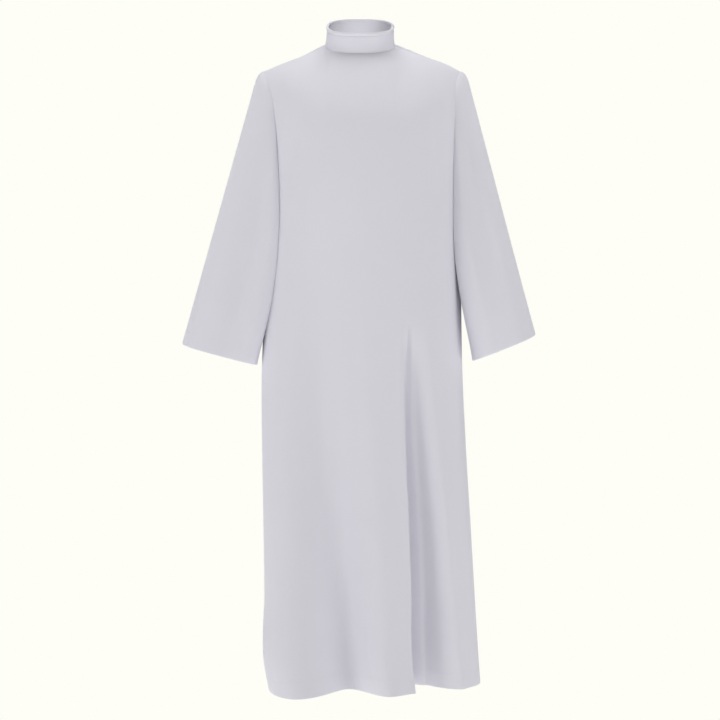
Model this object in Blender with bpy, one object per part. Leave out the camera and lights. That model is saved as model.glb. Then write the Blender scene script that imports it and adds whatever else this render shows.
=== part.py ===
"""Alb robe: a long plain liturgical robe in thin white cloth, filled out as if worn.

Metres, +Z up. The origin is the middle of the neck base, between the shoulders that hold the
robe up. The front faces -Y, and +X is the wearer's left. Five pieces are cut and sewn: front,
back, two set-in sleeves and a stand collar. Each is a thin closed wall worked out from the
garment's sizes, and the walls stop short of each other at the seams.
"""
import math
from collections import namedtuple

import bmesh
import bpy
import numpy as np

# Cloth
CLOTH = 0.002
COLLAR_CLOTH = 0.0032
SEAM_GAP = 0.0003
CLOTH_COLOUR = (0.86, 0.86, 0.90, 1.0)
CLOTH_ROUGHNESS = 0.85

# Heights of the garment's main points
SHOULDER_Z = -0.0545
UNDERARM_Z = -0.275
HEM_Z = -1.350

# Neck and collar
NECK_HALF_WIDTH = 0.0745
NECK_HALF_DEPTH = 0.0590
NECK_TILT = math.radians(20.5)
NECK_SQUARENESS = 2.3
NECK_WALL_DROP = 0.35
COLLAR_HEIGHT = 0.0415
COLLAR_TAPER = 0.0050
COLLAR_TOP_SQUARENESS = 2.8
COLLAR_END_STEP = 0.0025
COLLAR_END_TURN = 0.35
COLLAR_ROWS = 5

# Shoulder seam: half the width at each height, from the neck out to the sleeve head
ShoulderPoint = namedtuple("ShoulderPoint", "out height")
SHOULDER_LINE = (
    ShoulderPoint(0.0745, 0.0000),
    ShoulderPoint(0.0900, -0.0060),
    ShoulderPoint(0.1300, -0.0220),
    ShoulderPoint(0.1800, -0.0410),
    ShoulderPoint(0.2090, -0.0545),
)

# Armhole seam: how far out it runs at each height, from the shoulder down to the underarm
ArmholePoint = namedtuple("ArmholePoint", "height out")
ARMHOLE_LINE = (
    ArmholePoint(-0.0545, 0.2090),
    ArmholePoint(-0.078, 0.1990),
    ArmholePoint(-0.110, 0.1925),
    ArmholePoint(-0.160, 0.1885),
    ArmholePoint(-0.215, 0.1890),
    ArmholePoint(-0.252, 0.1940),
    ArmholePoint(-0.275, 0.2030),
)

# How the torso rounds over into the shoulder seam: front and back
Rounding = namedtuple("Rounding", "middle_height shoulder_height")
ROUNDING = {"front": Rounding(0.183, 0.110), "back": Rounding(0.150, 0.115)}

# Distances over which the neck's forward tilt dies away into the shoulders and the chest
TILT_REACH_OUT = 0.060
TILT_REACH_DOWN = 0.160

# Level sections of the body, without its folds
Section = namedtuple("Section", "height centre_x half_width front_depth back_depth squareness")
BODY_SECTIONS = (
    Section(0.040, 0.000, 0.216, 0.116, 0.108, 2.2),
    Section(0.000, 0.000, 0.216, 0.119, 0.115, 2.2),
    Section(-0.022, 0.0065, 0.216, 0.120, 0.118, 2.2),
    Section(-0.045, 0.007, 0.216, 0.122, 0.121, 2.2),
    Section(-0.057, 0.004, 0.215, 0.124, 0.123, 2.2),
    Section(-0.080, 0.004, 0.213, 0.127, 0.126, 2.2),
    Section(-0.120, 0.008, 0.209, 0.132, 0.130, 2.2),
    Section(-0.185, 0.011, 0.205, 0.138, 0.134, 2.2),
    Section(-0.275, 0.011, 0.203, 0.143, 0.137, 2.2),
    Section(-0.440, 0.009, 0.207, 0.149, 0.142, 2.3),
    Section(-0.694, 0.004, 0.215, 0.162, 0.153, 2.5),
    Section(-0.850, 0.007, 0.218, 0.172, 0.163, 2.6),
    Section(-1.000, 0.012, 0.2188, 0.182, 0.174, 2.8),
    Section(-1.157, 0.0155, 0.2212, 0.192, 0.184, 2.9),
    Section(-1.300, 0.0173, 0.2252, 0.202, 0.193, 3.0),
    Section(-1.350, 0.0235, 0.2212, 0.205, 0.196, 3.0),
)

# Crests and troughs of the folds, in order from the wearer's right seam (-1) to the left (+1).
# The two places are shares of the panel's quarter turns, at mid height and at the hem. Each grows
# from its start to the hem as a power of the way down.
Fold = namedtuple("Fold", "name mid_at hem_at out_at_hem sideways_at_hem starts_at growth")
FOLDS = {
    "front": (
        Fold("right seam", -1.00, -1.00, 0.000, 0.000, -0.45, 1.0),
        Fold("right side hollow", -0.84, -0.78, -0.001, 0.000, -0.45, 1.0),
        Fold("right crest", -0.58, -0.44, 0.044, 0.000, -0.30, 1.0),
        Fold("right hollow", -0.21, -0.15, -0.060, 0.000, -0.28, 1.0),
        Fold("middle crest", 0.08, 0.12, 0.000, 0.000, -0.45, 1.0),
        Fold("overhanging edge", 0.29, 0.26, -0.022, 0.008, -0.60, 0.8),
        Fold("deep hollow", 0.35, 0.325, -0.098, -0.014, -0.58, 0.8),
        Fold("hollow floor", 0.42, 0.45, -0.076, 0.000, -0.60, 0.85),
        Fold("left crest", 0.56, 0.60, 0.004, 0.000, -0.42, 1.0),
        Fold("left corner", 0.72, 0.73, 0.018, 0.000, -0.42, 1.0),
        Fold("left seam", 1.00, 1.00, 0.000, 0.000, -0.45, 1.0),
    ),
    "back": (
        Fold("right seam", -1.00, -1.00, 0.000, 0.000, -0.45, 1.0),
        Fold("right corner", -0.74, -0.72, 0.010, 0.000, -0.45, 1.0),
        Fold("right hollow", -0.46, -0.50, -0.044, 0.000, -0.38, 1.0),
        Fold("right crest", -0.18, -0.24, 0.012, 0.000, -0.40, 1.0),
        Fold("middle hollow", 0.08, 0.06, -0.064, 0.000, -0.34, 1.0),
        Fold("left crest", 0.38, 0.38, 0.022, 0.000, -0.42, 1.0),
        Fold("left hollow", 0.60, 0.62, -0.030, 0.000, -0.46, 1.0),
        Fold("left corner", 0.80, 0.80, 0.012, 0.000, -0.42, 1.0),
        Fold("left seam", 1.00, 1.00, 0.000, 0.000, -0.45, 1.0),
    ),
}
FOLD_MID_Z = -0.977
FOLD_DRIFT_ABOVE = -1.2

# Sleeves: the cuff's outer and inner corners, how deep it is and how far forward it hangs, and how
# far the tube's front and back bulge towards the body
Sleeve = namedtuple("Sleeve", "hand outer_x outer_z inner_x inner_z half_depth forward fullness")
SLEEVES = {
    "sleeve_right": Sleeve(-1, 0.376, -0.6280, 0.2210, -0.6730, 0.083, 0.036, 0.037),
    "sleeve_left": Sleeve(1, 0.373, -0.6095, 0.2430, -0.6660, 0.084, 0.014, 0.027),
}
CUFF_SQUARENESS = 3.0
CUFF_LEAN = 0.15  # how far the inner side turns outward towards the back
CROWN_FULLNESS = 0.011
CROWN_REACH = 0.012
CROWN_LIFT = 0.3
SIDE_FULLNESS_AT = 0.80
SIDE_FULLNESS_SPREAD = 0.35
SIDE_FULLNESS_UP_TO = 0.5
SIDE_FULLNESS_DEEP = 0.15
SIDE_FULLNESS_POWER = 0.7
SLEEVE_CLEARANCE = 0.005
SLEEVE_SEAM_REACH = 0.05
SLEEVE_HEAD_Z = -0.150

# Mesh divisions
COLUMNS = 36
NECK_COLUMNS = 14
YOKE_ROWS = 12
SKIRT_ROWS = 20
SLEEVE_ROWS = 16
SLEEVE_ROW_POWER = 1.4
NECK_SHARE = NECK_COLUMNS / COLUMNS
SHARP_EDGE = math.radians(40)
TINY = 1e-9


def smooth_curve(knots, values, at):
    """Cubic through the knots, with the slope at each taken from its neighbours."""
    order = np.argsort(knots)
    knots = np.asarray(knots, float)[order]
    values = np.asarray(values, float)[order]
    slopes = np.gradient(values, knots)
    i = np.clip(np.searchsorted(knots, at) - 1, 0, len(knots) - 2)
    step = knots[i + 1] - knots[i]
    t = np.clip((at - knots[i]) / step, 0.0, 1.0)
    start = (1 + 2 * t) * (1 - t) ** 2 * values[i] + t * (1 - t) ** 2 * step * slopes[i]
    end = t * t * (3 - 2 * t) * values[i + 1] + t * t * (t - 1) * step * slopes[i + 1]
    return start + end


def smooth_step(t):
    """Smooth rise from 0 to 1."""
    t = np.clip(t, 0.0, 1.0)
    return t * t * (3 - 2 * t)


def section(column, z):
    """One column of the body's sections, at the heights z."""
    heights = [row.height for row in BODY_SECTIONS]
    return smooth_curve(heights, [getattr(row, column) for row in BODY_SECTIONS], z)


def edge_width(z):
    """How far out a panel's edge runs: the armhole seam, and the side seam below it."""
    arm = smooth_curve([p.height for p in ARMHOLE_LINE], [p.out for p in ARMHOLE_LINE], z)
    return np.where(z > UNDERARM_Z, arm, section("half_width", z))


def shoulder_height(out):
    """Height of the shoulder seam at a distance out from the middle."""
    return smooth_curve([p.out for p in SHOULDER_LINE], [p.height for p in SHOULDER_LINE], out)


def rounding_height(side, out):
    """How far down the torso takes to round over from the shoulder seam to its full depth."""
    rounding = ROUNDING[side]
    share = np.clip(out / SHOULDER_LINE[-1].out, 0.0, 1.0)
    return rounding.middle_height + (rounding.shoulder_height - rounding.middle_height) * share


def ridge_height(side, out):
    """The shoulder seam's height, carried on over the neck as the dome that the neck ring, laid
    level, would cut."""
    inside = np.clip(1 - (out / NECK_HALF_WIDTH) ** NECK_SQUARENESS, 0.0, 1.0)
    share = NECK_HALF_DEPTH * inside ** (1 / NECK_SQUARENESS) / section(side + "_depth", 0.0)
    dome = rounding_height(side, out) * (1 - np.sqrt(1 - share ** 2))
    return np.where(out < NECK_HALF_WIDTH, dome, shoulder_height(out))


def body_depth(side, out, z):
    """Depth of the front or back from the shoulder plane, at a distance out and a height."""
    depth = section(side + "_depth", z)
    power = section("squareness", z)
    inside = np.clip(1 - (out / section("half_width", z)) ** power, 0.0, 1.0)
    full = depth * inside ** (1 / power)
    near = np.clip((ridge_height(side, out) - z) / rounding_height(side, out), 0.0, 1.0)
    return full * np.sqrt(1 - (1 - near) ** 2)


def neck_tilt(out, z, y):
    """How far the neck's forward tilt lifts or drops a point of the level body."""
    beside = np.clip((out - NECK_HALF_WIDTH) / TILT_REACH_OUT, 0.0, None)
    below = np.clip(-z / TILT_REACH_DOWN, 0.0, None)
    return y * math.tan(NECK_TILT) * np.exp(-beside ** 2 - below ** 2)


def oval(turn, half_width, half_depth, power):
    """Point of a squared oval at an angle from its middle, as the distances out and deep."""
    across = np.abs(np.sin(turn) / half_width) ** power
    along = np.abs(np.cos(turn) / half_depth) ** power
    radius = (across + along) ** (-1 / power)
    return radius * np.sin(turn), radius * np.cos(turn)


def fold_offsets(side, share, z):
    """How far the folds stand out and lean sideways, along one level section."""
    rows = FOLDS[side]
    down = np.clip((z - FOLD_MID_Z) / (HEM_Z - FOLD_MID_Z), FOLD_DRIFT_ABOVE, 1.0)
    places = np.array([row.mid_at + (row.hem_at - row.mid_at) * down for row in rows])
    depth = np.array([np.clip((row.starts_at - z) / (row.starts_at - HEM_Z), 0.0, 1.0)
                      ** row.growth for row in rows])
    i = np.clip(np.searchsorted(places, share, side="right") - 1, 0, len(rows) - 2)
    t = smooth_step((share - places[i]) / (places[i + 1] - places[i]))
    out = np.array([row.out_at_hem for row in rows]) * depth
    lean = np.array([row.sideways_at_hem for row in rows]) * depth
    return out[i] * (1 - t) + out[i + 1] * t, lean[i] * (1 - t) + lean[i + 1] * t


def neck_ring(turn, lift, taper, power):
    """Points of the tilted neck ring, turn 0 at the front, lifted along the collar's axis."""
    out, deep = oval(turn, NECK_HALF_WIDTH - taper, NECK_HALF_DEPTH - taper, power)
    x = out
    y = -deep - lift * math.sin(NECK_TILT)
    z = -deep * math.tan(NECK_TILT) + lift * math.cos(NECK_TILT)
    return np.stack([x, y, z], axis=-1)


def top_edge(share):
    """Top edge of a level panel, out and height: shoulder seam, half neck ring, shoulder seam."""
    turn = np.clip(share / NECK_SHARE, -1, 1) * math.pi / 2
    ring_out, _ = oval(turn, NECK_HALF_WIDTH, NECK_HALF_DEPTH, NECK_SQUARENESS)
    along = np.clip((np.abs(share) - NECK_SHARE) / (1 - NECK_SHARE), 0.0, 1.0)
    seam_out = NECK_HALF_WIDTH + along * (SHOULDER_LINE[-1].out - NECK_HALF_WIDTH)
    in_neck = np.abs(share) < NECK_SHARE - TINY
    out = np.where(in_neck, ring_out, np.sign(share) * seam_out)
    return out, np.where(in_neck, 0.0, shoulder_height(seam_out))


def body_points(side, share, down):
    """Outer face of a panel. share runs from -1 to 1 between the edges, and down from 0 at the
    top edge over 1 at the underarm to 2 at the hem."""
    forward = -1 if side == "front" else 1
    yoke = np.clip(down, 0, 1)[:, None]
    skirt = np.clip(down - 1, 0, 1)[:, None]
    top_out, top_z = top_edge(share)
    turn = share[None, :] * math.pi / 2

    z = top_z + (UNDERARM_Z - top_z) * yoke + (HEM_Z - UNDERARM_Z) * skirt
    edge_z = SHOULDER_Z + (UNDERARM_Z - SHOULDER_Z) * yoke + (HEM_Z - UNDERARM_Z) * skirt

    chest_width = section("half_width", UNDERARM_Z)
    chest, _ = oval(turn, chest_width, section(side + "_depth", UNDERARM_Z),
                    section("squareness", UNDERARM_Z))
    out = ((1 - yoke) * top_out / SHOULDER_LINE[-1].out + yoke * chest / chest_width)
    out = out * edge_width(edge_z)
    deep = body_depth(side, np.abs(out), z)

    ring_out, ring_deep = oval(turn, section("half_width", z), section(side + "_depth", z),
                               section("squareness", z))
    in_skirt = skirt > 0
    out = np.where(in_skirt, ring_out, out)
    deep = np.where(in_skirt, ring_deep, deep)

    lift = neck_tilt(np.abs(out), z, forward * deep)
    points = np.stack([out + section("centre_x", z), forward * deep, z + lift], axis=-1)

    power = section("squareness", z)
    normal_x = np.sign(out) * np.abs(out / section("half_width", z)) ** (power - 1)
    normal_x = normal_x / section("half_width", z)
    normal_y = np.abs(deep / section(side + "_depth", z)) ** (power - 1)
    normal_y = forward * normal_y / section(side + "_depth", z)
    length = np.hypot(normal_x, normal_y)
    for row in np.nonzero(in_skirt[:, 0])[0]:
        out_by, lean_by = fold_offsets(side, share, z[row, 0])
        points[row, :, 0] += out_by * normal_x[row] / length[row] + lean_by
        points[row, :, 1] += out_by * normal_y[row] / length[row]

    points[:, [0, -1], 1] += forward * SEAM_GAP / 2 * (edge_z <= UNDERARM_Z)
    on_shoulder_seam = (down < TINY)[:, None] & (np.abs(share) > NECK_SHARE - TINY)
    points[on_shoulder_seam, 1] = forward * SEAM_GAP / 2
    return points


def body_side(hand, y, z):
    """Where the body's side stands at a depth and height, as x, its folds included."""
    side_x = np.zeros_like(y)
    for side in ("front", "back"):
        depth = section(side + "_depth", z)
        width = section("half_width", z)
        power = section("squareness", z)
        out = width * np.clip(1 - (np.abs(y) / depth) ** power, 0.0, 1.0) ** (1 / power)
        share = np.arctan2(out, np.abs(y)) / (math.pi / 2)
        swell = np.array([fold_offsets(side, np.array([hand * a]), b)[0][0]
                          for a, b in zip(share.ravel(), z.ravel())]).reshape(share.shape)
        chosen = (y <= 0) if side == "front" else (y > 0)
        side_x = np.where(chosen, out + swell, side_x)
    return hand * side_x + section("centre_x", z)


def armhole(hand, turn):
    """Points of the armhole's edge: turn 0 at the shoulder, a quarter turn at the front."""
    z = SHOULDER_Z + (UNDERARM_Z - SHOULDER_Z) * (1 - np.cos(turn)) / 2
    width = edge_width(z)
    front = np.sin(turn) >= 0
    depth = np.where(front, -body_depth("front", width, z), body_depth("back", width, z))
    depth = np.where(np.abs(np.sin(turn)) < TINY, 0.0, depth)
    lift = neck_tilt(width, z, depth)
    return np.stack([hand * width + section("centre_x", z), depth, z + lift], axis=-1)


def sleeve_points(name, turn, along):
    """Outer face of a sleeve: straight lines from the armhole to the cuff, made fuller at the
    crown and the sides, and held clear of the body."""
    size = SLEEVES[name]
    start = armhole(size.hand, turn)
    start[:, 0] += size.hand * SEAM_GAP
    outer = np.array([size.hand * size.outer_x, -size.forward, size.outer_z])
    inner = np.array([size.hand * size.inner_x, -size.forward, size.inner_z])
    middle = (outer + inner) / 2
    cuff_deep = np.array([0.0, -size.half_depth, 0.0])
    forward, outward = oval(turn, 1.0, 1.0, CUFF_SQUARENESS)
    cuff = middle + outward[:, None] * (outer - inner) / 2 + forward[:, None] * cuff_deep
    inner_share = (1 - np.cos(turn)) / 2
    cuff[:, 0] -= size.hand * CUFF_LEAN * size.half_depth * forward * inner_share

    t = along[:, None]
    points = start[None] * (1 - t[..., None]) + cuff[None] * t[..., None]
    rise = 1 - np.exp(-t / CROWN_REACH)
    crown = CROWN_FULLNESS * rise * (1 - t) * np.clip(np.cos(turn), 0, 1)[None, :]
    points[..., 0] += size.hand * crown
    points[..., 2] += CROWN_LIFT * crown * np.exp(-t / (2 * CROWN_REACH))
    bulge = size.fullness * np.sin(math.pi * np.clip(t, 0, 1)) ** SIDE_FULLNESS_POWER
    off_side = (np.abs(np.sin(turn)) - SIDE_FULLNESS_AT) / SIDE_FULLNESS_SPREAD
    below = smooth_step((SIDE_FULLNESS_UP_TO - np.cos(turn)) / SIDE_FULLNESS_UP_TO)
    inward = np.exp(-off_side ** 2) * below
    points[..., 0] -= size.hand * bulge * inward[None, :]
    points[..., 1] -= SIDE_FULLNESS_DEEP * bulge * np.sin(turn)[None, :]

    beside = points[..., 2] < SLEEVE_HEAD_Z
    clear = SEAM_GAP + (SLEEVE_CLEARANCE - SEAM_GAP) * np.clip(t / SLEEVE_SEAM_REACH, 0, 1)
    limit = size.hand * body_side(size.hand, points[..., 1], points[..., 2]) + clear
    out = np.maximum(size.hand * points[..., 0], limit)
    points[1:, :, 0] = np.where(beside, size.hand * out, points[..., 0])[1:]
    return points


def face_normals(points, closed=False):
    """Unit normals of a grid of points, from the chords beside each point."""
    if closed:
        wide = np.concatenate([points[:, -1:], points, points[:, :1]], axis=1)
        across = (wide[:, 2:] - wide[:, :-2])
    else:
        across = np.gradient(points, axis=1)
    along = np.gradient(points, axis=0)
    normal = np.cross(along, across)
    return normal / np.linalg.norm(normal, axis=-1, keepdims=True)


def unit(vectors):
    return vectors / np.linalg.norm(vectors, axis=-1, keepdims=True)


def armhole_inward(points):
    """Direction of the wall at the armhole's edge: level with the seam, towards its middle."""
    middle_z = (SHOULDER_Z + UNDERARM_Z) / 2
    towards = np.zeros_like(points)
    towards[..., 1] = -points[..., 1]
    towards[..., 2] = middle_z - points[..., 2]
    return unit(towards)


def neck_inward(points):
    """Direction of the wall at the neck seam: towards the collar's axis and a little down."""
    towards = -points * np.array([1.0, 1.0, 0.0])
    towards = unit(towards)
    towards[..., 2] -= NECK_WALL_DROP
    return unit(towards)


def wall(name, outer, inner, closed):
    """Closed solid between two grids of points, open across its ends only where it is a tube."""
    rows, columns = outer.shape[:2]
    verts = np.concatenate([outer.reshape(-1, 3), inner.reshape(-1, 3)])
    number = np.arange(rows * columns).reshape(rows, columns)
    turned = np.concatenate([number, number[:, :1]], axis=1) if closed else number
    back = turned + rows * columns
    faces = []
    for grid in (turned, back):
        faces.append(np.stack([grid[:-1, :-1], grid[1:, :-1], grid[1:, 1:], grid[:-1, 1:]], -1)
                     .reshape(-1, 4))
    borders = [(turned[0], back[0]), (turned[-1], back[-1])]
    if not closed:
        borders += [(turned[:, 0], back[:, 0]), (turned[:, -1], back[:, -1])]
    for face_line, back_line in borders:
        faces.append(np.stack([face_line[:-1], face_line[1:], back_line[1:], back_line[:-1]], -1))
    faces = np.concatenate(faces)

    mesh = bpy.data.meshes.new(name)
    mesh.from_pydata(verts.tolist(), [], faces.tolist())
    solid = bmesh.new()
    solid.from_mesh(mesh)
    bmesh.ops.recalc_face_normals(solid, faces=solid.faces)
    solid.to_mesh(mesh)
    solid.free()
    mesh.shade_smooth()
    mesh.set_sharp_from_angle(angle=SHARP_EDGE)
    piece = bpy.data.objects.new(name, mesh)
    bpy.context.scene.collection.objects.link(piece)
    return piece


def cloth_material(name):
    """Plain white cloth, matt."""
    material = bpy.data.materials.new(name + "_cloth")
    material.use_nodes = True
    shader = material.node_tree.nodes["Principled BSDF"]
    shader.inputs["Base Color"].default_value = CLOTH_COLOUR
    shader.inputs["Roughness"].default_value = CLOTH_ROUGHNESS
    shader.inputs["Metallic"].default_value = 0.0
    return material


def make_panel(side):
    """Front or back: a flared panel that follows the body sections and their folds."""
    share = np.linspace(-1, 1, COLUMNS + 1)
    yoke = (1 - np.cos(np.linspace(0, math.pi, YOKE_ROWS + 1))) / 2
    skirt = np.linspace(1, 2, SKIRT_ROWS + 1)[1:]
    outer = body_points(side, share, np.concatenate([yoke, skirt]))
    inward = face_normals(outer)
    middle = outer[len(outer) // 2, COLUMNS // 2]
    if np.dot(inward[len(outer) // 2, COLUMNS // 2], middle) > 0:
        inward = -inward
    inward[YOKE_ROWS:, [0, -1], 1] = 0.0
    neck = np.abs(share) <= NECK_SHARE + TINY
    seam_line = np.gradient(outer[0], axis=0)
    across_seam = np.stack([seam_line[:, 2], 0 * seam_line[:, 0], -seam_line[:, 0]], axis=-1)
    inward[0] = np.where(neck[:, None], neck_inward(outer[0]), across_seam)
    for column in (0, -1):
        inward[:YOKE_ROWS + 1, column] = armhole_inward(outer[:YOKE_ROWS + 1, column])
    piece = wall(side, outer, outer + CLOTH * unit(inward), closed=False)
    piece.data.materials.append(cloth_material(side))


def make_sleeve(name):
    """Set-in sleeve: a wide tube from the armhole's edge to its open cuff."""
    turn = np.linspace(0, 2 * math.pi, 2 * YOKE_ROWS + 1)[:-1]
    along = np.linspace(0, 1, SLEEVE_ROWS + 1) ** SLEEVE_ROW_POWER
    outer = sleeve_points(name, turn, along)
    inward = face_normals(outer, closed=True)
    middle = outer.mean(axis=1, keepdims=True)
    if np.sum(inward * (middle - outer)) < 0:
        inward = -inward
    inward[0] = armhole_inward(outer[0])
    piece = wall(name, outer, outer + CLOTH * inward, closed=True)
    piece.data.materials.append(cloth_material(name))


def make_collar():
    """Stand collar: a tilted band whose ends meet at the wearer's left shoulder seam."""
    turn = math.pi / 2 + np.linspace(0, 2 * math.pi, 2 * NECK_COLUMNS + 1)
    lift = np.linspace(SEAM_GAP, COLLAR_HEIGHT, COLLAR_ROWS + 1)
    rise = lift / COLLAR_HEIGHT
    rows = []
    for height, share in zip(lift, rise):
        power = NECK_SQUARENESS + (COLLAR_TOP_SQUARENESS - NECK_SQUARENESS) * share ** 2
        row = neck_ring(turn, height, COLLAR_TAPER * math.sqrt(share), power)
        end = np.exp(-(turn - turn[0]) / COLLAR_END_TURN)
        row[:, 0] += COLLAR_END_STEP * share * end
        rows.append(row)
    outer = np.array(rows)
    outer[:, 0, 1] += SEAM_GAP / 2
    outer[:, -1, 1] -= SEAM_GAP / 2
    inward = -outer * np.array([1.0, 1.0, 0.0])
    inward[..., 1] -= lift[:, None] * math.sin(NECK_TILT)
    inward = unit(inward)
    inward[:, [0, -1], 1] = 0.0
    inward[0] = neck_inward(outer[0])
    inward[0, [0, -1], 1] = 0.0
    piece = wall("collar", outer, outer + COLLAR_CLOTH * unit(inward), closed=False)
    piece.data.materials.append(cloth_material("collar"))


for old in list(bpy.data.objects):
    bpy.data.objects.remove(old, do_unlink=True)

make_panel("front")
make_panel("back")
for sleeve_name in SLEEVES:
    make_sleeve(sleeve_name)
make_collar()
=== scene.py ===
# Alb robe, the looks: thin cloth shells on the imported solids, soft studio light, photo camera
import math

import bpy
import numpy as np
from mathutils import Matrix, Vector


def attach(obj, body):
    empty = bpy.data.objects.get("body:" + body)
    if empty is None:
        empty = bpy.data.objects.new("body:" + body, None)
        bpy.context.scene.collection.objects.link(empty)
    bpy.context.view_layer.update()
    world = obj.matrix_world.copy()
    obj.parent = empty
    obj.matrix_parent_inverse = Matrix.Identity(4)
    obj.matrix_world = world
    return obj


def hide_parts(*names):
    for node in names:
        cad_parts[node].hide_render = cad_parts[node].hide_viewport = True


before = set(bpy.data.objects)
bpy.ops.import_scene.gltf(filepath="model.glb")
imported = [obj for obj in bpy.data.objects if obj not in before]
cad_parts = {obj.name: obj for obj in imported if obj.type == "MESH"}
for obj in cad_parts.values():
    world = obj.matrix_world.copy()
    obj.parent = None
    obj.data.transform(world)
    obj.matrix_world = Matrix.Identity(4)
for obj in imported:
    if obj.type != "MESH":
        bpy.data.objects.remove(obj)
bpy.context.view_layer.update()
scene = bpy.context.scene
print("frame loaded:", sorted(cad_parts))


# Camera: stands in front of the robe a little above its middle, tilted slightly down
photoCamera = {
    "stand": (0.0, -3.6, -0.39),
    "aim": (0.0, 0.0, -0.669),
    "lens": 83.85,      # mm on a 36 mm sensor
}


def makeCamera():
    data = bpy.data.cameras.new("photoCamera")
    data.lens = photoCamera["lens"]
    camera = bpy.data.objects.new("photoCamera", data)
    scene.collection.objects.link(camera)
    camera.location = photoCamera["stand"]
    look = Vector(photoCamera["aim"]) - Vector(photoCamera["stand"])
    camera.rotation_euler = look.to_track_quat("-Z", "Y").to_euler()
    scene.camera = camera


makeCamera()
print("camera placed")


# Robe: the sizes that all its pieces share, in metres. All but the seams' and the cloth's are
# the solids' own
robe = {
    "shoulderZ": -0.0545,
    "underarmZ": -0.275,
    "hemZ": -1.350,
    "seamGap": 0.0001,          # finer than the 0.3 mm between the solids
    "cloth": 0.0007,            # thickness of one layer
    "seamRoll": 0.0004,         # how far a pressed seam rolls inward
    "neckRoll": 0.0004,         # the same along the neckline
    "allowance": 0.006,         # seam allowance turned in behind each seam
    "neckHalfWidth": 0.0745,
    "neckHalfDepth": 0.0590,
    "neckTilt": math.radians(20.5),
    "neckSquareness": 2.3,
    "neckShare": 14 / 36,       # part of a panel's top edge that is neckline
    "tiltReachOut": 0.060,
    "tiltReachDown": 0.160,
    "rounding": {"front": (0.183, 0.110), "back": (0.150, 0.115)},  # middle, shoulder
}

shoulderLine = {
    "out": (0.0745, 0.0900, 0.1300, 0.1800, 0.2090),
    "height": (0.0000, -0.0060, -0.0220, -0.0410, -0.0545),
}

armholeLine = {
    "height": (-0.0545, -0.078, -0.110, -0.160, -0.215, -0.252, -0.275),
    "out": (0.2090, 0.1990, 0.1925, 0.1885, 0.1890, 0.1940, 0.2030),
}

# height, centreX, halfWidth, frontDepth, backDepth, squareness
bodySections = np.array([
    (0.040, 0.000, 0.216, 0.116, 0.108, 2.2),
    (0.000, 0.000, 0.216, 0.119, 0.115, 2.2),
    (-0.022, 0.0065, 0.216, 0.120, 0.118, 2.2),
    (-0.045, 0.007, 0.216, 0.122, 0.121, 2.2),
    (-0.057, 0.004, 0.215, 0.124, 0.123, 2.2),
    (-0.080, 0.004, 0.213, 0.127, 0.126, 2.2),
    (-0.120, 0.008, 0.209, 0.132, 0.130, 2.2),
    (-0.185, 0.011, 0.205, 0.138, 0.134, 2.2),
    (-0.275, 0.011, 0.203, 0.143, 0.137, 2.2),
    (-0.440, 0.009, 0.207, 0.149, 0.142, 2.3),
    (-0.694, 0.004, 0.215, 0.162, 0.153, 2.5),
    (-0.850, 0.007, 0.218, 0.172, 0.163, 2.6),
    (-1.000, 0.012, 0.2188, 0.182, 0.174, 2.8),
    (-1.157, 0.0155, 0.2212, 0.192, 0.184, 2.9),
    (-1.300, 0.0173, 0.2252, 0.202, 0.193, 3.0),
    (-1.350, 0.0235, 0.2212, 0.205, 0.196, 3.0),
])
sectionColumns = ("height", "centreX", "halfWidth", "frontDepth", "backDepth", "squareness")

# Main folds from the wearer's right seam to the left: midAt, hemAt, outAtHem, leanAtHem, startsAt
# and the power of the way down by which each grows
mainFolds = {
    "front": np.array([
        (-1.00, -1.00, 0.000, 0.000, -0.45, 1.0),
        (-0.84, -0.78, -0.001, 0.000, -0.45, 1.0),
        (-0.58, -0.44, 0.044, 0.000, -0.30, 1.0),
        (-0.21, -0.15, -0.060, 0.000, -0.28, 1.0),
        (0.08, 0.12, 0.000, 0.000, -0.45, 1.0),
        (0.29, 0.26, -0.022, 0.008, -0.60, 0.8),
        (0.35, 0.325, -0.098, -0.014, -0.58, 0.8),
        (0.42, 0.45, -0.076, 0.000, -0.60, 0.85),
        (0.56, 0.60, 0.004, 0.000, -0.42, 1.0),
        (0.72, 0.73, 0.018, 0.000, -0.42, 1.0),
        (1.00, 1.00, 0.000, 0.000, -0.45, 1.0),
    ]),
    "back": np.array([
        (-1.00, -1.00, 0.000, 0.000, -0.45, 1.0),
        (-0.74, -0.72, 0.010, 0.000, -0.45, 1.0),
        (-0.46, -0.50, -0.044, 0.000, -0.38, 1.0),
        (-0.18, -0.24, 0.012, 0.000, -0.40, 1.0),
        (0.08, 0.06, -0.064, 0.000, -0.34, 1.0),
        (0.38, 0.38, 0.022, 0.000, -0.42, 1.0),
        (0.60, 0.62, -0.030, 0.000, -0.46, 1.0),
        (0.80, 0.80, 0.012, 0.000, -0.42, 1.0),
        (1.00, 1.00, 0.000, 0.000, -0.45, 1.0),
    ]),
}
foldMidZ = -0.977
foldDriftAbove = -1.2       # how far above mid height a fold's line still drifts, in hem drifts
halfGirthPerWidth = 1.45    # half a panel's length round the body, over the body's half width
creaseFade = 0.35           # part of a crease's length over which it fades at each end
grooveWidth = 0.0016        # of the groove along a hem's stitching
puffRise = 0.006            # over which the doubled cloth of a hem swells

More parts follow.
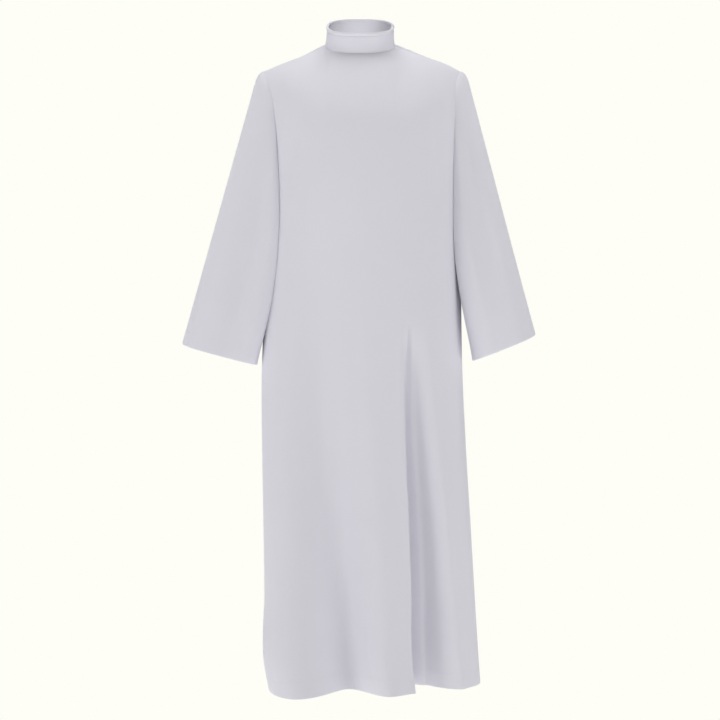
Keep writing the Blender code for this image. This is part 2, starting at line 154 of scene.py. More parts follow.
# Soft creases on the panels: from (share, z) to (share, z), width on each side and height out
fineCreases = {
    "front": (
        ((-0.74, -0.130), (-0.62, -0.330), 0.016, 0.026, -0.0030),
        ((-0.66, -0.300), (-0.52, -0.560), 0.022, 0.030, -0.0030),
        ((-0.86, -0.300), (-0.84, -1.200), 0.008, 0.022, -0.0035),
        ((0.74, -0.110), (0.58, -0.400), 0.026, 0.016, -0.0030),
        ((0.84, -0.280), (0.80, -1.000), 0.020, 0.010, -0.0030),
        ((-0.02, -1.140), (0.01, -1.345), 0.012, 0.022, -0.0050),
        ((0.380, -0.560), (0.350, -1.160), 0.012, 0.034, -0.0060),
        ((-0.420, -0.280), (-0.290, -1.420), 0.042, 0.030, -0.0075),
    ),
    "back": (
        ((-0.70, -0.120), (-0.52, -0.420), 0.020, 0.026, -0.0040),
        ((0.72, -0.120), (0.56, -0.460), 0.026, 0.018, -0.0040),
        ((-0.10, -0.420), (-0.16, -0.900), 0.026, 0.034, -0.0040),
        ((0.26, -0.360), (0.30, -0.980), 0.030, 0.022, -0.0045),
    ),
}


def smoothCurve(knots, values, at):
    # cubic through the knots, its slope at each taken from the neighbours
    order = np.argsort(knots)
    knots = np.asarray(knots, float)[order]
    values = np.asarray(values, float)[order]
    slopes = np.gradient(values, knots)
    i = np.clip(np.searchsorted(knots, at) - 1, 0, len(knots) - 2)
    step = knots[i + 1] - knots[i]
    t = np.clip((at - knots[i]) / step, 0.0, 1.0)
    start = (1 + 2 * t) * (1 - t) ** 2 * values[i] + t * (1 - t) ** 2 * step * slopes[i]
    end = t * t * (3 - 2 * t) * values[i + 1] + t * t * (t - 1) * step * slopes[i + 1]
    return start + end


def section(column, z):
    # one column of the body's level sections, read at the heights z
    return smoothCurve(bodySections[:, 0], bodySections[:, sectionColumns.index(column)], z)


def smoothStep(t):
    t = np.clip(t, 0.0, 1.0)
    return t * t * (3 - 2 * t)


def unit(vectors):
    return vectors / np.linalg.norm(vectors, axis=-1, keepdims=True)


def edgeWidth(z):
    # distance out of a panel's edge: armhole seam above the underarm, side seam below it
    arm = smoothCurve(armholeLine["height"], armholeLine["out"], z)
    return np.where(z > robe["underarmZ"], arm, section("halfWidth", z))


def shoulderHeight(out):
    return smoothCurve(shoulderLine["out"], shoulderLine["height"], out)


def roundingHeight(side, out):
    middle, shoulder = robe["rounding"][side]
    return middle + (shoulder - middle) * np.clip(out / shoulderLine["out"][-1], 0.0, 1.0)


def ridgeHeight(side, out):
    # shoulder seam's height, and over the neck the dome that the level neck ring would cut
    power = robe["neckSquareness"]
    inside = np.clip(1 - (out / robe["neckHalfWidth"]) ** power, 0.0, 1.0)
    part = robe["neckHalfDepth"] * inside ** (1 / power) / section(side + "Depth", 0.0)
    dome = roundingHeight(side, out) * (1 - np.sqrt(1 - part ** 2))
    return np.where(out < robe["neckHalfWidth"], dome, shoulderHeight(out))


def bodyDepth(side, out, z):
    # squared oval of the level section, drawn in along a quarter round towards the shoulder
    power = section("squareness", z)
    inside = np.clip(1 - (out / section("halfWidth", z)) ** power, 0.0, 1.0)
    full = section(side + "Depth", z) * inside ** (1 / power)
    near = np.clip((ridgeHeight(side, out) - z) / roundingHeight(side, out), 0.0, 1.0)
    return full * np.sqrt(1 - (1 - near) ** 2)


def neckTilt(out, z, y):
    # lift of a point where the neck leans forward: depth times the tilt, dying away
    beside = np.clip((out - robe["neckHalfWidth"]) / robe["tiltReachOut"], 0.0, None)
    below = np.clip(-z / robe["tiltReachDown"], 0.0, None)
    return y * math.tan(robe["neckTilt"]) * np.exp(-beside ** 2 - below ** 2)


def oval(turn, halfWidth, halfDepth, power):
    # radius of the squared oval at an angle, as distances out and deep
    across = np.abs(np.sin(turn) / halfWidth) ** power
    along = np.abs(np.cos(turn) / halfDepth) ** power
    radius = (across + along) ** (-1 / power)
    return radius * np.sin(turn), radius * np.cos(turn)


def foldOffsets(side, share, z):
    # out and sideways: the first fold's value, plus a smooth step to each next fold's
    rows = mainFolds[side]
    drift = np.clip((z - foldMidZ) / (robe["hemZ"] - foldMidZ), foldDriftAbove, 1.0)
    out = lean = 0.0 * share * z
    lastPlace = lastOut = lastLean = None
    for midAt, hemAt, outAtHem, leanAtHem, startsAt, growth in rows:
        place = midAt + (hemAt - midAt) * drift
        depth = np.clip((startsAt - z) / (startsAt - robe["hemZ"]), 0.0, 1.0) ** growth
        if lastPlace is not None:
            step = smoothStep((share - lastPlace) / (place - lastPlace))
            out = out + (outAtHem * depth - lastOut) * step
            lean = lean + (leanAtHem * depth - lastLean) * step
        lastPlace = place
        lastOut = outAtHem * depth
        lastLean = leanAtHem * depth
    return out, lean


def creaseOffsets(side, share, z, halfGirth):
    # soft troughs: a bell across a straight line, faded in and out along it
    out = 0.0 * share * z
    for (topAt, topZ), (lowAt, lowZ), leftWidth, rightWidth, height in fineCreases[side]:
        t = (topZ - z) / (topZ - lowZ)
        across = (share - (topAt + (lowAt - topAt) * t)) * halfGirth
        width = np.where(across < 0, leftWidth, rightWidth)
        fade = smoothStep(t / creaseFade) * smoothStep((1 - t) / creaseFade)
        out = out + height * np.exp(-(across / width) ** 2) * fade
    return out


def topEdge(share):
    # top edge of a level panel: shoulder seam, half the neck ring, shoulder seam
    turn = np.clip(share / robe["neckShare"], -1, 1) * math.pi / 2
    ringOut, _ = oval(turn, robe["neckHalfWidth"], robe["neckHalfDepth"], robe["neckSquareness"])
    along = np.clip((np.abs(share) - robe["neckShare"]) / (1 - robe["neckShare"]), 0.0, 1.0)
    seamOut = robe["neckHalfWidth"] + along * (shoulderLine["out"][-1] - robe["neckHalfWidth"])
    inNeck = np.abs(share) < robe["neckShare"] - 1e-9
    out = np.where(inNeck, ringOut, np.sign(share) * seamOut)
    return out, np.where(inNeck, 0.0, shoulderHeight(seamOut))


def panelPoints(side, share, down):
    # outer face: rows of level sections, from the top edge (0) by the underarm (1) to the hem (2)
    forward = -1 if side == "front" else 1
    yoke = np.clip(down, 0, 1)[:, None]
    skirt = np.clip(down - 1, 0, 1)[:, None]
    topOut, topZ = topEdge(share)
    turn = share[None, :] * math.pi / 2
    underarm, hem = robe["underarmZ"], robe["hemZ"]

    z = topZ + (underarm - topZ) * yoke + (hem - underarm) * skirt
    edgeZ = robe["shoulderZ"] + (underarm - robe["shoulderZ"]) * yoke + (hem - underarm) * skirt

    chestWidth = section("halfWidth", underarm)
    chest, _ = oval(turn, chestWidth, section(side + "Depth", underarm),
                    section("squareness", underarm))
    out = (1 - yoke) * topOut / shoulderLine["out"][-1] + yoke * chest / chestWidth
    out = out * edgeWidth(edgeZ)
    deep = bodyDepth(side, np.abs(out), z)

    width, depth = section("halfWidth", z), section(side + "Depth", z)
    power = section("squareness", z)
    ringOut, ringDeep = oval(turn, width, depth, power)
    inSkirt = skirt > 0
    out = np.where(inSkirt, ringOut, out)
    deep = np.where(inSkirt, ringDeep, deep)

    lift = neckTilt(np.abs(out), z, forward * deep)
    points = np.stack([out + section("centreX", z), forward * deep, z + lift], axis=-1)

    normalX = np.sign(out) * np.abs(out / width) ** (power - 1) / width
    normalY = forward * np.abs(deep / depth) ** (power - 1) / depth
    length = np.hypot(normalX, normalY)
    outBy, leanBy = foldOffsets(side, share[None, :], z)
    halfGirth = halfGirthPerWidth * width
    outBy = outBy + creaseOffsets(side, share[None, :], z, halfGirth)
    points[..., 0] += outBy * normalX / length + leanBy
    points[..., 1] += outBy * normalY / length

    points[:, [0, -1], 1] += forward * robe["seamGap"] / 2 * (edgeZ <= underarm)
    onShoulderSeam = (down < 1e-9)[:, None] & (np.abs(share) > robe["neckShare"] - 1e-9)
    points[onShoulderSeam, 1] = forward * robe["seamGap"] / 2
    return points


def bodySide(hand, y, z):
    # x of the body's side at a depth and height: the oval's edge plus the fold's swell
    x = 0.0 * y
    for side in ("front", "back"):
        depth, width = section(side + "Depth", z), section("halfWidth", z)
        power = section("squareness", z)
        out = width * np.clip(1 - (np.abs(y) / depth) ** power, 0.0, 1.0) ** (1 / power)
        share = np.arctan2(out, np.abs(y)) / (math.pi / 2)
        swell, _ = foldOffsets(side, hand * share, z)
        chosen = (y <= 0) if side == "front" else (y > 0)
        x = np.where(chosen, out + swell, x)
    return hand * x + section("centreX", z)


def armhole(hand, turn):
    # the armhole's edge: turn 0 at the shoulder, a quarter turn at the front
    z = robe["shoulderZ"] + (robe["underarmZ"] - robe["shoulderZ"]) * (1 - np.cos(turn)) / 2
    width = edgeWidth(z)
    depth = np.where(np.sin(turn) >= 0, -bodyDepth("front", width, z),
                     bodyDepth("back", width, z))
    depth = np.where(np.abs(np.sin(turn)) < 1e-9, 0.0, depth)
    lift = neckTilt(width, z, depth)
    return np.stack([hand * width + section("centreX", z), depth, z + lift], axis=-1)


def gridNormals(points, closed):
    # cross product of the chords along and across each grid point
    if closed:
        wide = np.concatenate([points[:, -1:], points, points[:, :1]], axis=1)
        across = wide[:, 2:] - wide[:, :-2]
    else:
        across = np.gradient(points, axis=1)
    return unit(np.cross(np.gradient(points, axis=0), across))


def arcLengths(points, axis):
    # running length along one way of the grid, zero on its first line
    steps = np.linalg.norm(np.diff(points, axis=axis), axis=-1)
    first = np.zeros_like(np.take(steps, [0], axis=axis))
    return np.concatenate([first, np.cumsum(steps, axis=axis)], axis=axis)


def rollIn(distance, radius):
    # quarter round: the cloth turns in by radius over the last radius before a seam
    t = np.clip(1 - distance / radius, 0.0, 1.0)
    return radius * (1 - np.sqrt(1 - t ** 2))


def tuckTop(points, outward):
    # seam allowance: the top row once more, pushed straight in
    return (np.concatenate([points[:1] - robe["allowance"] * outward[:1], points]),
            np.concatenate([outward[:1], outward]))


# A turned-up hem's inner layer: twice the radius in, closer near its upper edge
hemLayer = {"steps": 8, "gap": 2.0, "edgeGap": 1.5, "edgeFrom": 0.85}


def turnUp(points, inward, depth, radius):
    # hem: a half round under the edge, then the same rows again, inside and upwards
    fromEdge = arcLengths(points[::-1], 0)[:, points.shape[1] // 2][::-1]
    along = unit(points[-1] - points[-3])
    bend = np.linspace(0, math.pi, hemLayer["steps"])[1:-1]
    half = (points[-1] + radius * (1 - np.cos(bend))[:, None, None] * inward[-1]
            + radius * np.sin(bend)[:, None, None] * along)
    rows = np.nonzero(fromEdge <= depth)[0][::-1]
    nearEdge = fromEdge[rows] > hemLayer["edgeFrom"] * depth
    gap = np.where(nearEdge, hemLayer["edgeGap"], hemLayer["gap"])[:, None, None] * radius
    inside = points[rows] + gap * inward[rows]
    return np.concatenate([points, half, inside])


def makeMesh(name, points, closed, flip, edgeRow=None):
    # quads between the grid's points, with a map in metres: across, and up from the edge row
    rows, columns = points.shape[:2]
    number = np.arange(rows * columns).reshape(rows, columns)
    looped = np.concatenate([points, points[:, :1]], axis=1) if closed else points
    turned = np.concatenate([number, number[:, :1]], axis=1) if closed else number
    corners = (turned[:-1, :-1], turned[1:, :-1], turned[1:, 1:], turned[:-1, 1:])
    u = arcLengths(looped, 1)
    u = u - u[:, u.shape[1] // 2][:, None]
    v = arcLengths(looped, 0)
    v = v[edgeRow if edgeRow is not None else -1][None, :] - v
    flat = np.stack([u, v], axis=-1)
    flatCorners = [flat[:-1, :-1], flat[1:, :-1], flat[1:, 1:], flat[:-1, 1:]]
    if flip:
        corners, flatCorners = corners[::-1], flatCorners[::-1]
    faces = np.stack(corners, axis=-1).reshape(-1, 4)
    mesh = bpy.data.meshes.new(name)
    mesh.from_pydata(points.reshape(-1, 3), [], faces)
    clothMap = mesh.uv_layers.new(name="cloth")
    clothMap.data.foreach_set("uv", np.stack(flatCorners, axis=2).reshape(-1))
    mesh.shade_smooth()
    piece = bpy.data.objects.new(name, mesh)
    scene.collection.objects.link(piece)
    return piece


def thicken(piece, thickness):
    wall = piece.modifiers.new("cloth thickness", "SOLIDIFY")
    wall.thickness = thickness
    wall.offset = -1.0
    wall.use_rim = True


def settle(piece, node):
    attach(piece, "root")
    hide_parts(node)


# Cloth: fine plain weave, matt, with a faint nap; lengths in metres
clothLook = {
    "light": (0.800, 0.790, 0.846, 1.0),
    "shade": (0.775, 0.765, 0.822, 1.0),
    "roughness": 0.88,
    "sheen": 0.12,
    "sheenRoughness": 0.5,
    "specular": 0.25,
    "thread": 0.00055,
    "weaveDepth": 0.00006,
    "slubDepth": 0.00010,
    "slubScale": (900, 70, 1),
    "ripple": 9.0,              # soft unevenness, per metre
    "rippleDepth": 0.0011,
    "rippleScale": (1.0, 1.0, 0.45),
}


def mathNode(tree, operation, first, second=None):
    node = tree.nodes.new("ShaderNodeMath")
    node.operation = operation
    for socket, value in zip(node.inputs, (first, second)):
        if isinstance(value, (int, float)):
            socket.default_value = value
        elif value is not None:
            tree.links.new(value, socket)
    return node.outputs[0]


def bumpNode(tree, height, distance, normal=None):
    bump = tree.nodes.new("ShaderNodeBump")
    bump.inputs["Distance"].default_value = distance
    tree.links.new(height, bump.inputs["Height"])
    if normal is not None:
        tree.links.new(normal, bump.inputs["Normal"])
    return bump.outputs["Normal"]


def noiseNode(tree, vector, scale, detail):
    noise = tree.nodes.new("ShaderNodeTexNoise")
    noise.inputs["Scale"].default_value = scale
    noise.inputs["Detail"].default_value = detail
    tree.links.new(vector, noise.inputs["Vector"])
    return noise.outputs["Fac"]


def stretchNode(tree, vector, scale):
    mapping = tree.nodes.new("ShaderNodeMapping")
    mapping.inputs["Scale"].default_value = scale
    tree.links.new(vector, mapping.inputs["Vector"])
    return mapping.outputs["Vector"]


def makeCloth(name, stitch):
    # weave: product of two sines of the map; stitches: short dashes at one distance from the edge
    look = clothLook
    material = bpy.data.materials.new(name)
    material.use_nodes = True
    tree = material.node_tree
    shader = tree.nodes["Principled BSDF"]
    clothMap = tree.nodes.new("ShaderNodeUVMap")
    clothMap.uv_map = "cloth"
    place = tree.nodes.new("ShaderNodeTexCoord").outputs["Object"]
    split = tree.nodes.new("ShaderNodeSeparateXYZ")
    tree.links.new(clothMap.outputs["UV"], split.inputs["Vector"])
    across, up = split.outputs["X"], split.outputs["Y"]

    turns = math.pi / look["thread"]
    warp = mathNode(tree, "SINE", mathNode(tree, "MULTIPLY", across, turns))
    weft = mathNode(tree, "SINE", mathNode(tree, "MULTIPLY", up, turns))
    weave = mathNode(tree, "MULTIPLY", warp, weft)
    slub = noiseNode(tree, stretchNode(tree, clothMap.outputs["UV"], look["slubScale"]), 1.0, 2.0)
    ripple = noiseNode(tree, stretchNode(tree, place, look["rippleScale"]), look["ripple"], 2.0)

    near = mathNode(tree, "ABSOLUTE", mathNode(tree, "SUBTRACT", up, stitch["fromEdge"]))
    onLine = mathNode(tree, "LESS_THAN", near, stitch["width"] / 2)
    dash = mathNode(tree, "FRACT", mathNode(tree, "DIVIDE", across, stitch["pitch"]))
    onDash = mathNode(tree, "LESS_THAN", dash, stitch["filled"])
    prick = mathNode(tree, "MULTIPLY", onLine, onDash)

    normal = bumpNode(tree, ripple, look["rippleDepth"])
    normal = bumpNode(tree, slub, look["slubDepth"], normal)
    normal = bumpNode(tree, weave, look["weaveDepth"], normal)
    normal = bumpNode(tree, prick, stitch["height"], normal)
    tree.links.new(normal, shader.inputs["Normal"])

    tone = tree.nodes.new("ShaderNodeMix")
    tone.data_type = "RGBA"
    tone.inputs["A"].default_value = look["shade"]
    tone.inputs["B"].default_value = look["light"]
    tree.links.new(slub, tone.inputs["Factor"])
    tree.links.new(tone.outputs["Result"], shader.inputs["Base Color"])
    shader.inputs["Roughness"].default_value = look["roughness"]
    shader.inputs["Sheen Weight"].default_value = look["sheen"]
    shader.inputs["Sheen Roughness"].default_value = look["sheenRoughness"]
    shader.inputs["Specular IOR Level"].default_value = look["specular"]
    return material


# Panels: front and back, each one flared piece with its hem turned up and blind-stitched
panelLook = {
    "columns": 150,
    "yokeRows": 44,
    "skirtRows": 150,
    "seamSteps": (0.0, 0.0008, 0.0018, 0.0034, 0.0062, 0.0110),   # shares beside the seams
    "topSteps": (0.0, 0.0014, 0.0032, 0.0062, 0.0110, 0.0180),    # of the yoke, under the top edge
    "hemDepth": 0.032,
    "hemRadius": 0.0010,
    "hemPuff": 0.0002,
    "hemGroove": 0.00015,
    "hemSteps": (0, 1, 2.5, 5, 9, 14, 20, 25, 28.5, 30.5, 31.4, 32, 32.6, 33.5, 35.5, 39),
    "sizes": {"front": (0.97, 1.42, 0.948), "back": (0.84, 1.43, 0.894)},
}

hemStitch = {"fromEdge": 0.032, "width": 0.0009, "pitch": 0.0075, "filled": 0.12,
             "height": -0.0003}


def panelGrid():
    # even shares and rows, with finer ones beside the seams, the top edge and the hem
    look = panelLook
    steps = np.array(look["seamSteps"])
    inner = 1 - look["seamSteps"][-1]
    share = np.concatenate([-1 + steps, np.linspace(-inner, inner, look["columns"])[1:-1],
                            1 - steps[::-1]])
    neck = robe["neckShare"]
    nearest = [np.argmin(np.abs(share - place)) for place in (-neck, neck)]
    share[nearest] = (-neck, neck)
    top = np.array(look["topSteps"])
    yoke = top[-1] + (1 - top[-1]) * np.linspace(0, 1, look["yokeRows"])[1:]
    skirtLength = robe["underarmZ"] - robe["hemZ"]
    hem = 2 - np.array(look["hemSteps"])[::-1] / 1000 / skirtLength
    skirt = np.linspace(1, hem[0], look["skirtRows"])[1:-1]
    return share, np.concatenate([top, yoke, skirt, hem])


def makePanel(side):
    look = panelLook
    share, down = panelGrid()
    points = panelPoints(side, share, down)
    outward = gridNormals(points, False)
    if side == "back":
        outward = -outward
    fromLeft = arcLengths(points, 1)
    fromSeam = np.minimum(fromLeft, fromLeft[:, -1:] - fromLeft)
    fromTop = arcLengths(points, 0)
    fromHem = arcLengths(points[::-1], 0)[::-1]
    topRoll = np.where(np.abs(share) < robe["neckShare"], robe["neckRoll"], robe["seamRoll"])
    points = points - outward * (rollIn(fromSeam, robe["seamRoll"])
                                 + rollIn(fromTop, topRoll[None, :]))[..., None]
    puff = look["hemPuff"] * smoothStep((look["hemDepth"] - fromHem) / puffRise)
    groove = look["hemGroove"] * np.exp(-((fromHem - look["hemDepth"]) / grooveWidth) ** 2)
    points = points + outward * (puff - groove)[..., None]
    points, outward = tuckTop(points, outward)
    left, right = (points[:, [end]] - robe["allowance"] * outward[:, [end]] for end in (0, -1))
    points = np.concatenate([left, points, right], axis=1)
    outward = np.concatenate([outward[:, :1], outward, outward[:, -1:]], axis=1)
    edgeRow = len(points) - 1
    points = turnUp(points, -outward, look["hemDepth"], look["hemRadius"])
    piece = makeMesh(side + "Cloth", points, False, side == "back", edgeRow)
    thicken(piece, robe["cloth"])
    piece.data.materials.append(makeCloth(side + "Weave", hemStitch))
    settle(piece, side)
    print(side, "panel made:", len(piece.data.polygons), "faces")


# Sleeves: wide straight set-in tubes, hems turned up at the cuffs
sleeves = {
    "sleeve_right": {"hand": -1, "outerX": 0.376, "outerZ": -0.6280, "innerX": 0.2210,
                     "innerZ": -0.6730, "halfDepth": 0.083, "forward": 0.036,
                     "sideFullness": 0.037, "flat": (0.60, 0.63, 0.283)},
    "sleeve_left": {"hand": 1, "outerX": 0.373, "outerZ": -0.6095, "innerX": 0.2430,
                    "innerZ": -0.6660, "halfDepth": 0.084, "forward": 0.014,
                    "sideFullness": 0.027, "flat": (0.56, 0.63, 0.252)},
}
sleeveLook = {
    "around": 132,
    "along": 120,
    "seamLength": 0.60,
    "cuffSquareness": 3.0,
    "cuffLean": 0.15,           # how far the inner side turns outward towards the back
    "crownFullness": 0.011,
    "crownReach": 0.012,
    "crownLift": 0.3,
    "sideFullnessAt": 0.80,
    "sideFullnessSpread": 0.35,
    "sideFullnessUpTo": 0.5,
    "sideFullnessDeep": 0.15,
    "sideFullnessPower": 0.7,
    "clearance": 0.0008,
    "seamReach": 0.05,
    "headZ": (-0.125, -0.170),  # over these heights the sleeve comes clear of the body
    "cuffDepth": 0.030,
    "cuffRadius": 0.0010,
    "cuffPuff": 0.0001,
    "cuffGroove": 0.0001,
    "seamSteps": (0.0, 0.0005, 0.0010, 0.0020, 0.0040, 0.0080, 0.0140),
    "cuffSteps": (0, 1, 2.5, 5, 9, 14, 20, 25, 28, 29.4, 30, 30.6, 32, 35, 39),
}
# Soft creases along a sleeve: degrees round it at the start and end, share of its length there,
# width and height out; 0 is the shoulder, 90 the front, 180 the underarm, 270 the back
sleeveCreases = {
    "sleeve_right": (
        (76, 88, 0.08, 1.02, 0.020, -0.0120),
        (108, 114, 0.10, 1.05, 0.018, 0.0060),
        (262, 246, 0.12, 0.96, 0.022, -0.0120),
        (228, 214, 0.22, 1.02, 0.018, 0.0060),
    ),
    "sleeve_left": (
        (66, 72, 0.04, 0.86, 0.022, -0.0100),
        (98, 104, 0.20, 1.10, 0.024, 0.0060),
        (284, 270, 0.10, 0.92, 0.024, -0.0120),
        (240, 226, 0.20, 1.02, 0.020, 0.0060),
    ),
}
cuffStitch = {"fromEdge": 0.030, "width": 0.0009, "pitch": 0.0075, "filled": 0.12,
              "height": -0.0003}


def sleevePoints(size, turn, along):
    # straight lines from the armhole to the cuff, fuller at crown and sides, clear of the body
    look, hand = sleeveLook, size["hand"]
    start = armhole(hand, turn)
    start[:, 0] += hand * robe["seamGap"]
    outer = np.array([hand * size["outerX"], -size["forward"], size["outerZ"]])
    inner = np.array([hand * size["innerX"], -size["forward"], size["innerZ"]])
    forward, outward = oval(turn, 1.0, 1.0, look["cuffSquareness"])
    cuff = ((outer + inner) / 2 + outward[:, None] * (outer - inner) / 2
            + forward[:, None] * np.array([0.0, -size["halfDepth"], 0.0]))
    innerShare = (1 - np.cos(turn)) / 2
    cuff[:, 0] -= hand * look["cuffLean"] * size["halfDepth"] * forward * innerShare
    t = along[:, None]
    points = start[None] * (1 - t[..., None]) + cuff[None] * t[..., None]
    rise = 1 - np.exp(-t / look["crownReach"])
    crown = look["crownFullness"] * rise * (1 - t) * np.clip(np.cos(turn), 0, 1)[None, :]
    points[..., 0] += hand * crown
    points[..., 2] += look["crownLift"] * crown * np.exp(-t / (2 * look["crownReach"]))
    bulge = size["sideFullness"] * np.sin(math.pi * np.clip(t, 0, 1)) ** look["sideFullnessPower"]
    offSide = (np.abs(np.sin(turn)) - look["sideFullnessAt"]) / look["sideFullnessSpread"]
    below = smoothStep((look["sideFullnessUpTo"] - np.cos(turn)) / look["sideFullnessUpTo"])
    points[..., 0] -= hand * bulge * (np.exp(-offSide ** 2) * below)[None, :]
    points[..., 1] -= look["sideFullnessDeep"] * bulge * np.sin(turn)[None, :]

    headTop, headFoot = look["headZ"]
    beside = smoothStep((headTop - points[..., 2]) / (headTop - headFoot))
    gap = robe["seamGap"]
    clear = gap + (look["clearance"] - gap) * np.clip(t / look["seamReach"], 0, 1)
    limit = hand * bodySide(hand, points[..., 1], points[..., 2]) + clear
    push = np.maximum(limit - hand * points[..., 0], 0.0) * beside
    points[1:, :, 0] += hand * push[1:]
    return points


def sleeveCreaseHeights(node, turn, along, points):
    # bell across each crease's line, faded in and out along it; widths by the mean radius
    middle = points.mean(axis=1, keepdims=True)
    radius = np.linalg.norm(points - middle, axis=-1).mean(axis=1, keepdims=True)
    out = 0.0 * points[..., 0]
    for turnAt, turnTo, startsAt, endsAt, width, height in sleeveCreases[node]:
        t = ((along - startsAt) / (endsAt - startsAt))[:, None]
        place = np.radians(turnAt + (turnTo - turnAt) * t)
        fade = smoothStep(t / creaseFade) * smoothStep((1 - t) / creaseFade)
        out = out + height * np.exp(-((turn[None, :] - place) * radius / width) ** 2) * fade
    return out


def makeSleeve(node):
    look, size = sleeveLook, sleeves[node]
    turn = np.linspace(0, 2 * math.pi, look["around"] + 1)[:-1]
    head = np.array(look["seamSteps"])
    cuff = 1 - np.array(look["cuffSteps"])[::-1] / 1000 / look["seamLength"]
    along = np.concatenate([head, np.linspace(head[-1], cuff[0], look["along"])[1:-1], cuff])
    points = sleevePoints(size, turn, along)
    outward = gridNormals(points, True) * -size["hand"]
    middle = points.mean(axis=1, keepdims=True)
    if np.sum(outward * (points - middle)) < 0:
        outward = -outward
    fromHead = arcLengths(points, 0)
    fromCuff = arcLengths(points[::-1], 0)[::-1]
    points = points - outward * rollIn(fromHead, robe["seamRoll"])[..., None]
    puff = look["cuffPuff"] * smoothStep((look["cuffDepth"] - fromCuff) / puffRise)
    groove = look["cuffGroove"] * np.exp(-((fromCuff - look["cuffDepth"]) / grooveWidth) ** 2)
    crease = sleeveCreaseHeights(node, turn, along, points)
    points = points + outward * (crease + puff - groove)[..., None]
    points, outward = tuckTop(points, outward)
    edgeRow = len(points) - 1
    points = turnUp(points, -outward, look["cuffDepth"], look["cuffRadius"])
    name = "rightSleeve" if size["hand"] < 0 else "leftSleeve"
    piece = makeMesh(name + "Cloth", points, True, size["hand"] < 0, edgeRow)
    thicken(piece, robe["cloth"])
    piece.data.materials.append(makeCloth(name + "Weave", cuffStitch))
    settle(piece, node)
    print(name, "made:", len(piece.data.polygons), "faces")


# Collar: a stand band of doubled cloth, its ends meeting at the wearer's left shoulder
collarLook = {
    "height": 0.0415,
    "thickness": 0.0032,
    "taper": 0.0050,
    "topSquareness": 2.8,
    "endStep": 0.0025,          # how far the back's end stands out at the top
    "endReach": 0.35,           # radians from the end over which that dies away
    "endCore": 0.02,            # part of the thickness left where an end closes
    "around": 180,
    "rows": 26,
    "lipSteps": 11,
    "lipAt": 0.0062,            # groove of the edge stitching below the top fold
    "lipGroove": 0.0015,
    "lipWidth": 0.0012,
    "lipPuff": 0.0014,
    "footRoll": 0.0004,
    "flat": (0.44, 0.087),
}
collarStitch = {"fromEdge": 0.0055, "width": 0.0005, "pitch": 0.0028, "filled": 0.75,
                "height": 0.0002}


def neckRing(turn, lift, taper, power):
    # tilted squared oval, turn 0 at the front, raised along the collar's own axis
    out, deep = oval(turn, robe["neckHalfWidth"] - taper, robe["neckHalfDepth"] - taper, power)
    tilt = robe["neckTilt"]
    return np.stack([out, -deep - lift * math.sin(tilt),
                     -deep * math.tan(tilt) + lift * math.cos(tilt)], axis=-1)


def makeCollar():
    # loop section: up the outer face, over a half round, down the inner face
    look = collarLook
    turn = math.pi / 2 + np.linspace(0, 2 * math.pi, look["around"] + 1)
    half = look["thickness"] / 2
    lift = np.linspace(0.0, look["height"] - half, look["rows"])
    share = (lift / look["height"])[:, None]
    squaring = (look["topSquareness"] - robe["neckSquareness"]) * share ** 2
    power = robe["neckSquareness"] + squaring
    outer = neckRing(turn[None, :], lift[:, None], look["taper"] * np.sqrt(share), power)
    end = np.exp(-(turn - turn[0]) / look["endReach"])
    outer[..., 0] += look["endStep"] * share * end
    inward = -outer * np.array([1.0, 1.0, 0.0])
    inward[..., 1] -= lift[:, None] * math.sin(robe["neckTilt"])
    inward = unit(inward)
    inward[:, [0, -1], 1] = 0.0
    inward = unit(inward)

    fromTop = look["height"] - lift
    groove = look["lipGroove"] * np.exp(-((fromTop - look["lipAt"]) / look["lipWidth"]) ** 2)
    puff = look["lipPuff"] * smoothStep((look["lipAt"] - fromTop) / (2 * look["lipWidth"]))
    foot = rollIn(lift, look["footRoll"])
    outer = outer + inward * (groove + foot - puff)[:, None, None]
    inner = outer + inward * (look["thickness"] - groove - 2 * foot + 2 * puff)[:, None, None]
    half = half + look["lipPuff"]

    up = np.array([0.0, -math.sin(robe["neckTilt"]), math.cos(robe["neckTilt"])])
    bend = np.linspace(0, math.pi, look["lipSteps"])[1:-1][:, None, None]
    lip = outer[-1] + half * (1 - np.cos(bend)) * inward[-1] + half * np.sin(bend) * up
    points = np.concatenate([outer, lip, inner[::-1]])

    core = (points + points[::-1]) / 2
    fromEnd = arcLengths(points, 1)
    fromEnd = np.minimum(fromEnd, fromEnd[:, -1:] - fromEnd)
    closing = np.sqrt(1 - np.clip(1 - fromEnd / half, 0.0, 1.0) ** 2)[..., None]
    points = core + (points - core) * np.maximum(closing, look["endCore"])
    gap = robe["seamGap"] / 2
    points[:, 0, 1] += gap
    points[:, -1, 1] -= gap
    piece = makeMesh("collarBand", points, False, True, look["rows"] + look["lipSteps"] // 2)
    piece.data.materials.append(makeCloth("collarWeave", collarStitch))
    settle(piece, "collar")
    print("collar made:", len(piece.data.polygons), "faces")


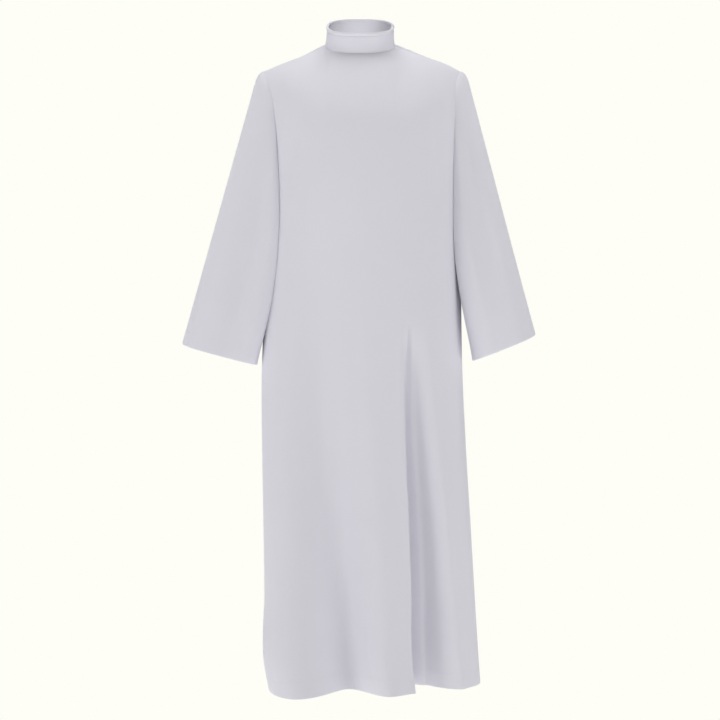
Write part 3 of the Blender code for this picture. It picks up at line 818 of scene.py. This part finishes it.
# Studio: pale floor and dome of one ivory, side, top and front softboxes
studio = {
    "ivory": (0.990, 0.990, 0.922, 1.0),
    "floorZ": -1.42,
    "floorSize": 12.0,
    "floorHole": 0.02,          # radius at the floor's middle, over its own radius
    "domeOverFloor": 1.2,       # the dome's radius over the floor's
    "fill": (0.98, 0.98, 1.0, 1.0),
    "fillStrength": 0.2,
    # name, place, aim, width, height, spread in degrees, watts
    "softboxes": (
        ("leftSoftbox", (-2.6, -1.0, 0.3), (0.0, 0.0, -0.7), 1.6, 2.4, 180, 4.0),
        ("lowLeftSoftbox", (-2.4, -1.4, -0.7), (0.0, 0.0, -0.7), 0.8, 1.4, 180, 13.0),
        ("rightSoftbox", (2.2, -2.6, 0.4), (0.0, 0.0, -0.7), 1.4, 2.0, 180, 15.0),
        ("lowRightSoftbox", (2.4, -1.4, -0.7), (0.0, 0.0, -0.7), 0.8, 1.4, 180, 5.0),
        ("topSoftbox", (0.0, 0.05, 2.2), (0.0, 0.02, 0.0), 2.4, 1.2, 180, 45.0),
        ("floorBounce", (0.0, 0.0, -1.415), (0.0, 0.0, 0.0), 24.0, 24.0, 180, 1620.0),
        ("neckGlow", (0.0, -0.022, 0.006), (0.0, 0.06, 0.030), 0.06, 0.016, 120, 0.0165),
        ("backSoftbox", (0.0, 3.4, 0.8), (0.0, 0.0, -0.7), 2.4, 1.6, 180, 10.0),
    ),
}


def glowMaterial(name, colour):
    material = bpy.data.materials.new(name)
    material.use_nodes = True
    tree = material.node_tree
    tree.nodes.clear()
    glow = tree.nodes.new("ShaderNodeEmission")
    glow.inputs["Color"].default_value = colour
    output = tree.nodes.new("ShaderNodeOutputMaterial")
    tree.links.new(glow.outputs["Emission"], output.inputs["Surface"])
    return material


def makeStudio():
    turn = np.linspace(0, 2 * math.pi, 65)[:-1]
    rise = np.linspace(-math.pi / 2, math.pi / 2, 33)[:, None]
    radius = studio["floorSize"] * studio["domeOverFloor"]
    dome = radius * np.stack([np.cos(rise) * np.cos(turn), np.cos(rise) * np.sin(turn),
                              np.sin(rise) + 0 * turn], axis=-1)
    backdrop = makeMesh("backdrop", dome, True, True)
    backdrop.data.materials.append(glowMaterial("ivoryGlow", studio["ivory"]))
    backdrop.visible_diffuse = False
    backdrop.visible_glossy = False
    backdrop.visible_shadow = False
    ring = np.array([studio["floorHole"], 1.0])[:, None] * studio["floorSize"]
    disc = np.stack([ring * np.cos(turn), ring * np.sin(turn),
                     studio["floorZ"] + 0 * ring * turn], axis=-1)
    floor = makeMesh("floor", disc, True, True)
    floor.data.materials.append(glowMaterial("floorGlow", studio["ivory"]))
    floor.visible_diffuse = False
    floor.visible_glossy = False
    floor.visible_shadow = False

    world = bpy.data.worlds.new("studioFill")
    scene.world = world
    world.use_nodes = True
    world.node_tree.nodes["Background"].inputs["Color"].default_value = studio["fill"]
    world.node_tree.nodes["Background"].inputs["Strength"].default_value = studio["fillStrength"]

    for name, place, aim, width, height, spread, watts in studio["softboxes"]:
        data = bpy.data.lights.new(name, "AREA")
        data.shape = "RECTANGLE"
        data.size = width
        data.size_y = height
        data.spread = math.radians(spread)
        data.energy = watts
        lamp = bpy.data.objects.new(name, data)
        scene.collection.objects.link(lamp)
        lamp.location = place
        look = Vector(aim) - Vector(place)
        lamp.rotation_euler = look.to_track_quat("-Z", "Y").to_euler()
        lamp.visible_camera = False
    scene.view_settings.view_transform = "Standard"


makePanel("front")
makePanel("back")
for sleeveNode in sleeves:
    makeSleeve(sleeveNode)
makeCollar()
makeStudio()
print("studio lit")
